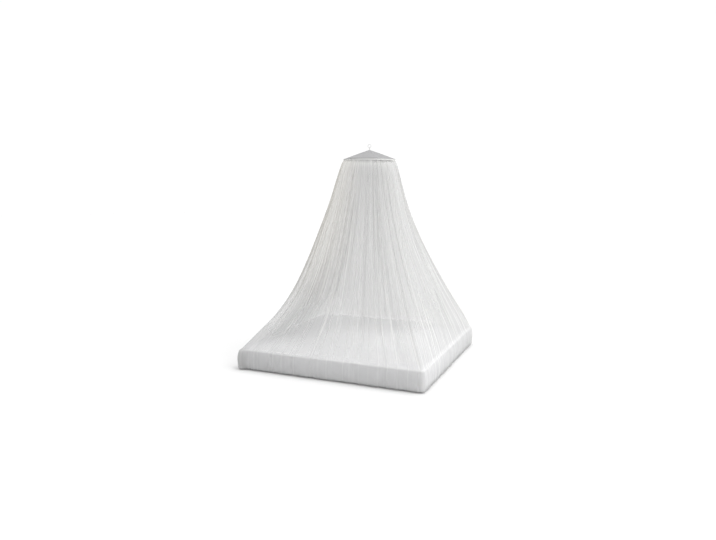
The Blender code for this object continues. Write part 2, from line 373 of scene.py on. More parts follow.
def sewing_polyester():
    """Spun polyester thread: small round stitches a little darker than the tape.

    Its plies of 0.1 mm are drawn 0.8 mm apart, the finest that shows close by.
    """
    return dense_cloth("polyester sewing thread", ("#E9E9E8", "#F2F2F0"), 0.0008, 0.0001, 0.0)


def cord_polyester():
    """Twisted polyester cord: white and matt, its fine fibres drawn as a weave of 0.8 mm."""
    return dense_cloth("twisted polyester cord", ("#EEEEEC", "#F6F6F4"), 0.0008, 0.0002, 0.0)


def ring_enamel():
    """Steel wire dipped in white enamel: smooth, with a small clear highlight."""
    return hard_finish("white enamelled steel wire", "#DCDCDC", 0.35, 0.002, 0.0001, coat=0.3)


def rod_plastic():
    """Extruded plastic rod: off-white, with a soft broad highlight."""
    return hard_finish("white extruded plastic rod", "#E8E8E6", 0.45, 0.003, 0.0001)


def floor_paint():
    """Matt paint, so light under this light that it meets the white studio without an edge."""
    made, tree = new_material("matt white floor paint")
    place = add_node(tree, "TexCoord").outputs["Object"]
    tone = two_tone(tree, ("#D9D9D9", "#DBDBDB"), noise(tree, place, 3.0, 4.0))
    matt = {"Roughness": 0.9, "Specular IOR Level": 0.1}
    finish_with(tree, add_node(tree, "BsdfPrincipled", matt, {"Base Color": tone}))
    return made


# Mattress


def bed_outline(way):
    """Points of the mattress's plain outline and the ways out there; way is in metres round it.

    Each quarter is a straight side followed by an arc of the corner radius.
    """
    side = np.floor(way / QUARTER)
    run = way - side * QUARTER
    past = np.clip((run - STRAIGHT) / CORNER_ARC, 0, 1)
    out = heading(90 * side + 90 * past)
    outward, along = heading(90 * side), heading(90 * side + 90)
    straight = outward * BED_SIDE / 2 + along * (np.minimum(run, STRAIGHT) - STRAIGHT / 2)[..., None]
    corner = outward * (BED_SIDE / 2 - BED_CORNER) + along * (STRAIGHT / 2) + out * BED_CORNER
    return np.where((run > STRAIGHT)[..., None], corner, straight), out


SIDE_SLOPE = math.atan(4 * BED_BULGE / BED_HEIGHT)  # of the bulged side where it meets the edges
EDGE_RADIUS = BED_EDGE * math.tan(math.pi / 4 + SIDE_SLOPE / 2)


def side_profile(turn, clear):
    """Distance out and height of the side at a turn from 90, straight up, to -90, straight down.

    Round the edges it is an arc; between them a parabola with its crest halfway up.
    """
    slope = math.degrees(SIDE_SLOPE)
    radius = EDGE_RADIUS + clear
    arc_turn = np.radians(np.where(np.abs(turn) > slope, turn, np.sign(turn) * slope))
    arc_out = radius * np.cos(arc_turn) - BED_EDGE
    arc_rise = (BED_HEIGHT / 2 - EDGE_RADIUS) * np.sign(turn) + radius * np.sin(arc_turn)
    end = math.radians(slope)
    end_out = radius * math.cos(end) - BED_EDGE
    end_rise = BED_HEIGHT / 2 - EDGE_RADIUS + radius * math.sin(end)
    share = turn / slope
    flat_out = mix(BED_BULGE + clear, end_out, share**2)
    on_arc = np.abs(turn) > slope
    return np.where(on_arc, arc_out, flat_out), BED_MIDDLE + np.where(on_arc, arc_rise, end_rise * share)


BED_COLUMNS = 384
BED_SIDE_ROWS = 60
BED_RINGS = 48
BED_SEED = 5
RIM_TURN = 88  # of the side's first and last row, in degrees; the rings lie level inside them
CREASES = 34
CREASE_DEPTH = 0.004
CREASE_LENGTHS = (0.12, 0.45)
CREASE_WIDTHS = (0.006, 0.014)
CREASE_LEAN = 0.5  # most that one leans from straight in, in radians
CREASE_STARTS = (0.02, 0.25)  # in from the edge
CREASE_BEND = 0.1
CREASE_GROWS = 0.06  # length over which it grows from its start
CREASE_FADES = 0.5  # share of its length from which it fades
CREASE_SHARES = (0.4, 1.0)  # of the full depth
TOP_BAND = 0.012  # under the top, where the swelling and the creases start
SWELLS = (0.004, 0.003)  # heights of the two sets of waves of the top
SWELL_TURNS = (5.1, 4.3)  # of the crossed waves, in radians a metre to the right and back
SWELL_STARTS = (0.7, 1.9)
SLANT_TURNS = (8.3, -3.1)
SWELL_MEAN = 0.004
SWELL_ENDS = (0.72, 0.97)  # from the middle
PAINTED_SHADE_SIDES = (0.020, 0.005)  # under the top, where the painted shade of the sides begins


def creases(draw, x, y):
    """Depth of the soft creases of the mattress cover, from 0 to 1.

    Each crease is a trough along a slightly bent line: 1 on the line, fading to 0 across it
    and towards its ends.
    """
    depth = np.zeros_like(x)
    for _ in range(CREASES):
        edge_way = draw.uniform(0, 4 * QUARTER)
        (px, py), (ox, oy) = (v.tolist() for v in bed_outline(np.array(edge_way)))
        length, width = draw.uniform(*CREASE_LENGTHS), draw.uniform(*CREASE_WIDTHS)
        lean = draw.uniform(-CREASE_LEAN, CREASE_LEAN)
        dx = -ox * math.cos(lean) - oy * math.sin(lean)
        dy = -oy * math.cos(lean) + ox * math.sin(lean)
        start = draw.uniform(*CREASE_STARTS)
        along = (x - px) * dx + (y - py) * dy - start
        bend = CREASE_BEND * draw.uniform(-1, 1)
        across = (x - px) * dy - (y - py) * dx + bend * along**2
        fade = between(along, (0, CREASE_GROWS), (length * CREASE_FADES, length))
        line = np.exp(-((across / width) ** 2)) * fade
        depth = np.maximum(depth, line * draw.uniform(*CREASE_SHARES))
    return depth


def swell(x, y):
    """Sum of a product of sine waves to the right and back, and of a sine wave along a slant."""
    to_right = np.sin(SWELL_TURNS[0] * x + SWELL_STARTS[0])
    back = np.sin(SWELL_TURNS[1] * y + SWELL_STARTS[1])
    slanted = np.sin(SLANT_TURNS[0] * x + SLANT_TURNS[1] * y)
    return SWELLS[0] * to_right * back + SWELLS[1] * slanted


def add_mattress(finish):
    """A profile carried round the outline, and rings of it that shrink towards the middle.

    The top swells and sinks by a few millimetres and is creased; its rim, on which the net
    rests, stays whole.
    """
    draw = random.Random(BED_SEED)
    way = np.linspace(0, 4 * QUARTER, BED_COLUMNS, endpoint=False)
    foot, out = bed_outline(way)
    rim_out, rim_height = side_profile(np.linspace(RIM_TURN, -RIM_TURN, BED_SIDE_ROWS), 0.0)
    wall = at_heights(foot + out * rim_out[:, None, None], rim_height[:, None])
    shrink = (np.arange(1, BED_RINGS) / BED_RINGS)[:, None, None]
    rings = foot * (1 - 2 * BED_EDGE / BED_SIDE) * shrink
    top, bottom = at_heights(rings, BED_TOP), at_heights(rings[::-1], BED_BOTTOM)
    points = np.concatenate([top, wall, bottom])
    x, y, z = np.moveaxis(points, -1, 0)
    on_top = step(z, BED_TOP - TOP_BAND, BED_TOP)
    inside = 1 - step(np.maximum(np.abs(x), np.abs(y)), *SWELL_ENDS)
    lift = inside * (swell(x, y) + SWELL_MEAN) - CREASE_DEPTH * creases(draw, x, y)
    points[..., 2] += on_top * lift
    # The border amount is painted shade on the sides, all below the top band
    grey_from, grey_to = PAINTED_SHADE_SIDES
    amounts = {"border": 1 - step(z, BED_TOP - grey_from, BED_TOP - grey_to)}
    made = surface("mattress_cover", points, finish, capped=(True, True), amounts=amounts)
    stands_for(made, "mattress")


# Net

# A drop is 0 at the hoop, 1 at the mattress's top edge and 1.15 under the mattress

# By drop: how far out the net has come on its leaner and on its fuller side, as a share of
# the way to the mattress, and the depth of the main folds
HANGING = np.array([
    (0.000, 0.000, 0.000, 0.000),
    (0.010, 0.014, 0.014, 0.006),
    (0.040, 0.034, 0.036, 0.012),
    (0.250, 0.158, 0.160, 0.022),
    (0.400, 0.262, 0.284, 0.028),
    (0.550, 0.372, 0.440, 0.032),
    (0.700, 0.505, 0.615, 0.034),
    (0.820, 0.660, 0.770, 0.030),
    (0.920, 0.845, 0.905, 0.020),
    (1.000, 1.000, 1.000, 0.010),
])
DROP, LEANER, FULLER, MAIN_DEPTH = HANGING.T
FOLDS_PER_SIDE = 8
FOLD_SHAPE = (0.0, 0.85, 1.0)
FOLD_WIDTHS = (0.65, 1.35)
FOLD_DEPTHS = (0.40, 1.00)
CORNER_FOLD = (0.0, 0.5, 0.8, 0.5)
FOLD_SEED = 12
NET_SEED = 31
NET_COLUMNS = 1150
HANGING_ROWS = 62
ROW_CROWDING = 1.15  # over 1, rows lie closer together by the hoop
WRAPPED_ROWS = 22
ARRIVAL = 62.0  # turn of the mattress's top edge at which the hanging net meets it, in degrees
WRAPPED_DROP = 0.15  # by which the drop goes on down the mattress's side
SEWN_IN = 0.0005  # in from the outer skin of the hoop, where the net is sewn on
SEWN_BELOW = 0.004  # and down from the hoop's middle

# A set of gathers: how many, the ranges of the widths of their strips and of the drops at
# which they die out
Gathering = namedtuple("Gathering", "count widths life")
WIDE = Gathering(84, (0.4, 1.8), (0.6, 1.9))
NARROW = Gathering(200, (0.5, 1.6), (0.3, 1.9))

# By drop: depth of the wide and of the narrow gathers, and the cloth gathered beyond these
GATHERS = np.array([
    (0.00, 0.0000, 0.0000, 1.00),
    (0.01, 0.0030, 0.0025, 0.90),
    (0.05, 0.0055, 0.0035, 0.65),
    (0.15, 0.0085, 0.0035, 0.40),
    (0.40, 0.0130, 0.0035, 0.24),
    (0.70, 0.0140, 0.0030, 0.18),
    (0.90, 0.0070, 0.0022, 0.13),
    (1.00, 0.0028, 0.0012, 0.08),
    (1.04, 0.0032, 0.0008, 0.00),
    (1.11, 0.0030, 0.0008, 0.00),
    (1.15, 0.0000, 0.0000, 0.00),
])
GATHER_DROP, WIDE_DEPTH, NARROW_DEPTH, GATHERED = GATHERS.T
GATHER_HEIGHTS = (0.25, 1.0)
GATHER_BEGINS = (-0.25, 0.25)  # drops; under 0, it leaves the hoop
GATHER_GROWS = 0.08  # drop over which it grows
GATHER_DIES = (-0.2, 0.1)  # drops, against its end, between which it dies out
WIDE_LEAN = 0.35
NARROW_LEAN = 0.25
INWARD = 0.3  # share of a gather's depth that lies inside the bell's own surface
INWARD_ENDS = (0.8, 1.0)
OPENS = (0.01, 0.08)  # drops between which the cloth opens under the hoop
LIES_DOWN = (0.85, 1.0)  # and comes to lie on the mattress's edge
PLEATS = 132
PLEAT_STRIPS = (0.3, 1.7)  # range of the widths of their strips
PLEAT_HALF_WIDTHS = (0.06, 0.16)  # shares of a pleat's strip
PLEAT_MIDDLES = (0.25, 0.75)
PLEAT_SOFT = (0.6, 1.3)  # shares of its half width between which it ends
PLEAT_BEGINS = (-1.2, 0.6)  # drops; under 0, it comes out of the seam
PLEAT_GROWS = 0.25
PLEAT_LAYERS = (0.0, 0.5, 1.0, 2.0)
PLEAT_ODDS = (0.25, 0.37, 0.32, 0.06)  # of each number of layers
PLEAT_RISE = 0.0007  # of each layer
WRAP_DROP = (1.00, 1.02, 1.06, 1.11, 1.135, 1.15)
WRAP_MAIN_DEPTH = (0.010, 0.009, 0.010, 0.008, 0.003, 0.0)

# The border: between the nicks where it is tucked in hard it stands out a little
HEM_DROP = (1.108, 1.128)  # drops between which the cloth becomes double
HEM_BULGE = 0.013
HEM_TURNS = ((0, 45), (66, 90))  # down from level, in degrees, over which it grows and shrinks
NICKS = 26
NICK_STRIPS = (0.4, 1.6)  # range of the widths of their strips
NICK_PLACES = (0.3, 0.7)  # range of their places across
NICK_SIDES = (0.02, 0.10)  # distances from its middle between which a nick ends
CLEAR_TURNS = (50, 90)  # down from level, in degrees, over which the net closes on the mattress

# The left corner of the foot end, where the net bags out
SLACK_CORNER = 2
SLACK_WIDTH = 0.045
SLACK_DEPTH = (0.000, 0.004, 0.024, 0.020, 0.006, 0.0)
SLACK_DROP = (0.97, 1.03)  # drops between which the bag opens
SLACK_CLOTH = 2.0  # how much more cloth lies in it

# How much cloth lies where, against an even spread of 1, and between which drops
COVER = 0.44  # share of one layer that is thread, seen straight on
CLOTH_FOOT = 0.68
CLOTH_HEAD = 1.50
LESS_RIGHT = 0.61  # where the bell bulges and spreads its cloth
LESS_RIGHT_ENDS = (0.65, 0.95)
LEFT_DROP = (0.0, 0.5, 0.9, 1.15)
MORE_LEFT = (-0.28, -0.06, 1.60, 0.20)  # less high up, more low down
LEFT_SIDE = 180  # direction of the most of it, in degrees
LESS_FOOT = 0.42  # on the left of the foot end
LESS_FOOT_DROP = ((0.60, 0.85), (0.86, 0.95))
PLEATS_RIGHT = 1.2  # how much denser than elsewhere the pleats on the bell's right are
PLEATS_RIGHT_END = (0.60, 0.85)
PLEATS_FLAT = 0.7  # how far they open out on the mattress's sides
AT_EDGE = (0.96, 1.02)  # drops between which the net bends over the mattress's edge

# Drops that end what is near the seam and the hoop, and start what is low or on the sides
BY_SEAM = (0.005, 0.05)
BY_HOOP = (0.1, 0.6)
LOW_DOWN = (0.5, 0.85)
ON_SIDES = (0.98, 1.03)

# How white the threads look where one layer hangs free, and the painted light that adds to it
WHITE = 0.40
PAINTED_LIGHT_LEAST = math.radians(-67.5)  # from the middle towards the camera, where the painted light by the hoop is least
PAINTED_LIGHT_ASIDE = 0.60  # painted light by the hoop, at right angles to that
PAINTED_LIGHT_SEAM = 0.50  # painted light just under the binding, where shade falls
PAINTED_LIGHT_RIGHT = 0.25  # painted light lower down on the right
PLEAT_THREAD_AND_PAINTED_LIGHT = 0.40  # on each layer of a pleat: painted light, partly the whiter look of its closer thread
FLAT_PLEAT_THREAD_AND_PAINTED_LIGHT = 0.08  # the same, partly painted light, on the mattress's sides
PAINTED_LIGHT_SIDES = 0.60  # painted light on the mattress's sides
# and the painted shade that takes from it
PAINTED_SHADE_LEFT = 0.35  # painted shade low down on the bell's left
PAINTED_SHADE_LEFT_SIDE = 0.55  # painted shade on the mattress's left side
PAINTED_SHADE_FOOT = 0.40  # painted shade next to the mattress's edge at the foot end
PAINTED_SHADE_FOOT_LEFT = 0.50  # and more painted shade further on its left
PAINTED_SHADE_FOOT_DROP = ((0.86, 0.93), (0.99, 1.02))
PAINTED_SHADE_FOLDED = 0.9  # share lost to painted shade in the bag and in the hem

# The faint warmth of the bell's upper part
WARM_SIDE = 200  # direction of the most of it, in degrees
WARM_TURNS = (0.1, 1.0)  # cosines of the turn from there over which it grows
WARM_ENDS = (0.4, 1.0)

Columns = namedtuple("Columns", "share angle foot away main slack")


def main_folds():
    """Places round the mattress and heights of the main folds, as the CAD skirt draws them."""
    draw = random.Random(FOLD_SEED)
    ways, heights = [], []
    for side in range(4):
        widths = [draw.uniform(*FOLD_WIDTHS) for _ in range(FOLDS_PER_SIDE)]
        depths = [draw.uniform(*FOLD_DEPTHS) for _ in range(FOLDS_PER_SIDE)]
        start = 0.0
        for width, depth in zip(widths, depths):
            for third, height in enumerate(FOLD_SHAPE):
                share = (start + width * third / 3) / sum(widths)
                ways.append(side * QUARTER + share * STRAIGHT)
                heights.append(height * depth / max(depths))
            start += width
        for turn, height in enumerate(CORNER_FOLD):
            ways.append(side * QUARTER + STRAIGHT + CORNER_ARC * turn / len(CORNER_FOLD))
            heights.append(height)
    return np.array(ways), np.array(heights)


def round_and_round(way, ways, values):
    """The smooth curve through the values, closed round the whole mattress."""
    whole = 4 * QUARTER
    wrapped = np.concatenate([ways[-4:] - whole, ways, ways[:4] + whole])
    return smooth(way, wrapped, np.concatenate([values[-4:], values, values[:4]]))


def net_columns():
    """Columns of the net: share of the way round, angle at the hoop in degrees, place and way
    out at the mattress, and height of the main folds and of the bag at the slack corner.

    The angle grows evenly with the way round the mattress. The bag is a bell curve over it.
    """
    way = np.linspace(0, 4 * QUARTER, NET_COLUMNS, endpoint=False)
    foot, away = bed_outline(way)
    angle = 90 * (way - STRAIGHT / 2) / QUARTER
    main = np.clip(round_and_round(way, *main_folds()), 0, 1.1)
    slack_way = SLACK_CORNER * QUARTER + STRAIGHT + CORNER_ARC / 2
    slack = np.exp(-(((way - slack_way) / SLACK_WIDTH) ** 2))
    return Columns(way / (4 * QUARTER), angle, foot, away, main, slack)


def strips(rng, count, widths, share):
    """Uneven strips side by side all the way round: which one a share is in, how far across it
    and how wide that strip is."""
    edges = np.concatenate([[0], np.cumsum(rng.uniform(*widths, count))])
    edges /= edges[-1]
    phase = np.interp(share, edges, np.arange(count + 1))
    number = np.minimum(phase.astype(int), count - 1)
    return number, phase - number, np.diff(edges)[number]


def gathers(rng, kind, share, drop):
    """Ridges of gathered cloth, 0 in the valleys and up to 1 on a crest, and their lean.

    Across its strip a ridge is a raised cosine. It leaves the hoop or starts lower, and dies
    out at its own drop. The lean is how far its crest is pushed over, in shares round.
    """
    count = kind.count
    number, across, width = strips(rng, count, kind.widths, share)
    height = rng.uniform(*GATHER_HEIGHTS, count)[number]
    lean = rng.uniform(-1.0, 1.0, count)[number]
    begins = np.maximum(rng.uniform(*GATHER_BEGINS, count), 0)[number]
    ends = rng.uniform(*kind.life, count)[number]
    dies = (ends + GATHER_DIES[0], ends + GATHER_DIES[1])
    alive = between(drop, (begins - 0.001, begins + GATHER_GROWS), dies)
    ridge = (0.5 - 0.5 * np.cos(2 * np.pi * across)) * height * alive
    return ridge, ridge * lean * width


def pleats(rng, count, share, drop):
    """Layers of cloth that lie on the first where it is folded over, 0 to 2.

    Each strip may have one pleat: a soft-edged box across, somewhere in the strip, from its
    own drop down to the lower edge.
    """
    number, across, _ = strips(rng, count, PLEAT_STRIPS, share)
    middle = rng.uniform(*PLEAT_MIDDLES, count)[number]
    half = rng.uniform(*PLEAT_HALF_WIDTHS, count)[number]
    amount = rng.choice(PLEAT_LAYERS, count, p=PLEAT_ODDS)[number]
    begins = rng.uniform(*PLEAT_BEGINS, count)[number]
    box = 1 - step(np.abs(across - middle) / half, *PLEAT_SOFT)
    return box * amount * step(drop, begins, begins + PLEAT_GROWS)


def cloth_spread(columns, drop):
    """How much cloth lies at each point, against an even spread of 1.

    From the foot to the head end it grows with the cube of how far round a point is. Less
    lies on the bell's right and over the left of the foot end, and low down on the left more.
    """
    right, back = heading(columns.angle).T
    full = mix(CLOTH_FOOT, CLOTH_HEAD, (0.5 + 0.5 * back) ** 3)
    full = full - LESS_RIGHT * np.maximum(right, 0) * (1 - step(drop, *LESS_RIGHT_ENDS))
    to_left = np.maximum(np.cos(np.radians(columns.angle - LEFT_SIDE)), 0) ** 6
    full += smooth(drop, LEFT_DROP, MORE_LEFT) * to_left
    foot_left = np.maximum(-back, 0) * (0.5 - 0.5 * right)
    full -= LESS_FOOT * foot_left * between(drop, *LESS_FOOT_DROP)
    return full * (1 + SLACK_CLOTH * columns.slack * step(drop, *SLACK_DROP))


def net_offsets(rng, columns, drop, girth):
    """Outward and sideways offsets of the gathered cloth, its cover of thread and its pleats.

    Where cloth slopes across the way round, or lies in layers, more thread is in the way: of
    a beam of light the open share to the power of the layers, each stretched by its slope,
    goes through.
    """
    share, main = columns.share, columns.main
    wide, wide_lean = gathers(rng, WIDE, share, drop)
    narrow, narrow_lean = gathers(rng, NARROW, share, drop)
    layers = pleats(rng, PLEATS, share, drop)
    inward = INWARD * (1 - step(drop, *INWARD_ENDS))
    outward = (wide - inward) * smooth(drop, GATHER_DROP, WIDE_DEPTH)
    outward += (narrow - inward) * smooth(drop, GATHER_DROP, NARROW_DEPTH)
    flat = 1 - PLEATS_FLAT * step(drop, *AT_EDGE)
    outward += PLEAT_RISE * layers * step(drop, *OPENS) * flat
    main_hanging = smooth(np.minimum(drop, 1), DROP, MAIN_DEPTH)
    main_wrapped = smooth(drop, WRAP_DROP, WRAP_MAIN_DEPTH)
    outward += main * np.where(drop < 1, main_hanging, main_wrapped)
    loose = between(drop, OPENS, LIES_DOWN)
    sideways = loose * girth * (WIDE_LEAN * wide_lean + NARROW_LEAN * narrow_lean)
    spacing = girth / NET_COLUMNS
    slope = (np.roll(outward, -1, axis=1) - np.roll(outward, 1, axis=1)) / (2 * spacing)
    right, _ = heading(columns.angle).T
    shown = 1 + PLEATS_RIGHT * np.maximum(right, 0) * (1 - step(drop, *PLEATS_RIGHT_END))
    shown -= PLEATS_FLAT * step(drop, *AT_EDGE)
    depth = (1 + layers * shown) * np.sqrt(1 + slope**2)
    depth *= (1 + smooth(drop, GATHER_DROP, GATHERED)) * (1 + step(drop, *HEM_DROP))
    depth *= cloth_spread(columns, drop)
    return outward, sideways, 1 - (1 - COVER) ** depth, layers


def painted_thread_light(columns, drop, layers):
    """How white the threads look, from 0 to 1: painted light and painted shade in their tone.

    Painted light lies in the pleats, partly for their closer thread, under the binding, at the
    hoop's two sides, on the bell's right and on the mattress's sides. Painted shade lies low down
    on the left of the bell, on the mattress's left side, along the edge of the foot end, in the
    bag and in the hem.
    """
    right, back = heading(columns.angle).T
    to_right, to_left, to_foot = (np.maximum(way, 0) for way in (right, -right, -back))
    by_hoop = 1 - step(drop, *BY_HOOP)
    aside = np.sin(np.radians(columns.angle) - PAINTED_LIGHT_LEAST) ** 2
    low = between(drop, LOW_DOWN, AT_EDGE)
    # Painted light by the hoop's sides and lower down on the bell's right
    white = WHITE + PAINTED_LIGHT_ASIDE * by_hoop * aside + PAINTED_LIGHT_RIGHT * to_right * (1 - by_hoop)
    # Painted shade low down on the bell's left
    white -= PAINTED_SHADE_LEFT * low * to_left
    # Painted light on pleats, partly the whiter look of their closer thread
    white += layers * mix(PLEAT_THREAD_AND_PAINTED_LIGHT, FLAT_PLEAT_THREAD_AND_PAINTED_LIGHT, step(drop, *AT_EDGE))
    # Painted light on the mattress's sides, with painted shade on its left side
    white += (PAINTED_LIGHT_SIDES - PAINTED_SHADE_LEFT_SIDE * to_left) * step(drop, *ON_SIDES)
    # Painted light just under the binding, where shade falls
    white += PAINTED_LIGHT_SEAM * (1 - step(drop, *BY_SEAM))
    # Painted shade along the edge of the foot end
    painted_foot_shade = (PAINTED_SHADE_FOOT + PAINTED_SHADE_FOOT_LEFT * to_left) * to_foot
    white -= painted_foot_shade * between(drop, *PAINTED_SHADE_FOOT_DROP)
    # Painted shade in the bag and in the hem
    folded = np.maximum(columns.slack * step(drop, *SLACK_DROP), step(drop, *HEM_DROP))
    return np.clip(white, 0, 1) * (1 - PAINTED_SHADE_FOLDED * folded)


def add_net(finish):
    """One sheet, which hangs from the hoop, bends over the mattress edge and is tucked under.

    Hanging, a point lies between the hoop and the mattress edge, at a share of the way that
    grows with the drop. Wrapped, it follows the mattress's side a little way off. Both move
    out and sideways by the folds.
    """
    rng = np.random.default_rng(NET_SEED)
    columns = net_columns()
    foot, away = columns.foot, columns.away
    drop = (np.linspace(0, 1, HANGING_ROWS) ** ROW_CROWDING)[:, None]
    turn = np.linspace(ARRIVAL, -90, WRAPPED_ROWS + 1)[1:, None]
    lower = 1 + WRAPPED_DROP * (ARRIVAL - turn) / (ARRIVAL + 90)
    every_drop = np.concatenate([drop, lower])

    edge_out, edge_height = side_profile(np.array(ARRIVAL), NET_CLEAR)
    fuller = step(0.5 + 0.5 * np.cos(np.radians(columns.angle) - FULLER_SIDE), 0, 1)
    reach = mix(smooth(drop, DROP, LEANER), smooth(drop, DROP, FULLER), fuller)
    every_reach = np.concatenate([reach, np.ones((WRAPPED_ROWS, NET_COLUMNS))])
    girth = mix(2 * math.pi * HOOP_RADIUS, 4 * QUARTER, every_reach)
    outward, sideways, threads, layers = net_offsets(rng, columns, every_drop, girth)

    from_hoop = heading(columns.angle)
    start = HOOP_CENTRE[:2] + from_hoop * (HOOP_RADIUS + HOOP_WIRE - SEWN_IN)
    out = unit(mix(from_hoop, away, reach[..., None]))
    across = np.stack([-out[..., 1], out[..., 0]], -1)
    place = mix(start, foot + away * edge_out, reach[..., None])
    place += out * outward[:HANGING_ROWS, :, None] + across * sideways[:HANGING_ROWS, :, None]
    hanging = at_heights(place, mix(HOOP_CENTRE[2] - SEWN_BELOW, edge_height, drop))

    clear = mix(NET_CLEAR, TUCK_HEIGHT, step(-turn, *CLEAR_TURNS))
    wrap_out, wrap_height = side_profile(turn, clear)
    nicks, across_nick, _ = strips(rng, NICKS, NICK_STRIPS, columns.share)
    from_nick = np.abs(across_nick - rng.uniform(*NICK_PLACES, NICKS)[nicks])
    bulge = step(from_nick, *NICK_SIDES) * between(-turn, *HEM_TURNS)
    stand_off = outward[HANGING_ROWS:] + HEM_BULGE * bulge
    stand_off += columns.slack * smooth(lower, WRAP_DROP, SLACK_DEPTH)
    wrapped = at_heights(foot + away * (wrap_out + stand_off)[..., None], wrap_height)

    tucked = at_heights(foot[None] * (1 - 2 * TUCK / BED_SIDE), TUCK_HEIGHT)
    points = np.concatenate([hanging, wrapped, tucked])
    warm = step(np.cos(np.radians(columns.angle - WARM_SIDE)), *WARM_TURNS)
    warmth = warm * (1 - step(every_drop, *WARM_ENDS))
    # Painted light and painted shade in the threads' tone
    white = painted_thread_light(columns, every_drop, layers)
    amounts = {"threads": threads, "warmth": warmth, "white": white}
    amounts = {title: np.concatenate([rows, rows[-1:]]) for title, rows in amounts.items()}
    made = surface("net", points, finish, amounts=amounts)
    stands_for(made, "skirt")


# Crown, binding, loop and ring

RIM_COLUMNS = 480
CROWN_ROWS = 44
CROWN_EDGE_ROWS = 6
CROWN_SEED = 8
CROWN_TIP_RADIUS = 0.004
CROWN_OVER = 0.001  # how far its edge lies outside the CAD crown's
CROWN_EDGE = (60, 28)  # turns up from outside, between which its edge wraps the binding
CROWN_WIDE = Gathering(19, (0.4, 1.8), (1.2, 2.0))
CROWN_NARROW = Gathering(57, (0.6, 1.5), (1.2, 2.0))
CROWN_LIFT = (0.0050, 0.0016)  # heights of its wide and of its narrow gathers
CROWN_INWARD = 0.4  # share of a wide gather's height that lies under the plain cone
CROWN_HEM = (0.96, 0.97)  # share of the way from tip to hoop at which its cloth gets double
CROWN_SEAM = 0.955  # share of the way at which it is stitched
CLOTH_STEP = 0.0006  # by which the double cloth of a hem stands up
TAPE_SEED = 3
TAPE_ROWS = (16, 8)  # round the hoop, and down from it
TAPE_TURNS = (150, 0)  # turns up from outside, between which the binding wraps the hoop
PUCKERS = Gathering(130, (0.6, 1.5), (1.5, 2.0))
PUCKER_SIZE = (0.0012, 0.0006)  # how far they stand out and how far they lift the lower edge
TAPE_THICKNESS = 0.0008
TAPE_FLARE = 0.004  # by which the gathers push out the lower edge of the binding
TAPE_SEAM = 0.72  # share of its fall at which it is stitched
STITCH = 0.0035  # length of a stitch
STITCH_STEPS = 6
SEWING_THREAD = 0.0003  # radius
SEAM_SIDES = 6
CORD_SIDES = 24
CORD_STEPS = 288
CORD_STRANDS = 3
CORD_TURNS = 8  # of its strands, once round the loop
CORD_GROOVE = 0.20  # share of its radius by which it is thinner between strands
RING_SIDES = 20
RING_STEPS = 120
RING_WIRE = 0.97  # share of the CAD's wire
WELD = 0.10  # share of its wire by which the ring is thicker there
WELD_WIDTH = 0.09  # in radians round the ring


def round_hoop(skin, degrees):
    """Distance from the hoop's axis and height of a point round its wire, turned up from outside."""
    turned = np.radians(degrees)
    return HOOP_RADIUS + skin * np.cos(turned), HOOP_CENTRE[2] + skin * np.sin(turned)


def about_hoop(out, height, share):
    """Points at those distances from the hoop's axis and heights, at those shares round it."""
    return at_heights(HOOP_CENTRE[:2] + heading(360 * share) * out[..., None], height)


def add_crown(finish):
    """A cone from its tip to the hoop, closed on top, whose edge turns down round the binding.

    Distance out and height change evenly with the share of the way. Radial gathers, raised
    cosines across, lift it by an amount that follows a half sine from tip to hoop. Returns the
    distance out and the height of its seam.
    """
    rng = np.random.default_rng(CROWN_SEED)
    share = np.linspace(0, 1, RIM_COLUMNS, endpoint=False)
    skin = CROWN_HIGH[0] - HOOP_CENTRE[0] - HOOP_RADIUS + CROWN_OVER
    way = np.linspace(0, 1, CROWN_ROWS)[:, None]
    edge_out, edge_height = round_hoop(skin, CROWN_EDGE[0])
    wide, narrow = (gathers(rng, kind, share, way)[0] for kind in (CROWN_WIDE, CROWN_NARROW))
    ridges = CROWN_LIFT[0] * (wide - CROWN_INWARD) + CROWN_LIFT[1] * narrow
    lift = np.sin(np.pi * way) * ridges
    hem = CLOTH_STEP * step(way, *CROWN_HEM)
    cone = about_hoop(
        mix(CROWN_TIP_RADIUS, edge_out, way) + 0 * share,
        mix(CROWN_HIGH[2], edge_height, way) + lift + hem,
        share,
    )
    turns = np.linspace(*CROWN_EDGE, CROWN_EDGE_ROWS + 1)[1:, None] + 0 * share
    edge = about_hoop(*round_hoop(skin + CLOTH_STEP, turns), share)
    points = np.concatenate([cone, edge])
    made = surface("crown_cloth", points, finish, capped=(True, False))
    stands_for(made, "crown")
    seam_out = mix(CROWN_TIP_RADIUS, edge_out, CROWN_SEAM)
    return seam_out, mix(CROWN_HIGH[2], edge_height, CROWN_SEAM)


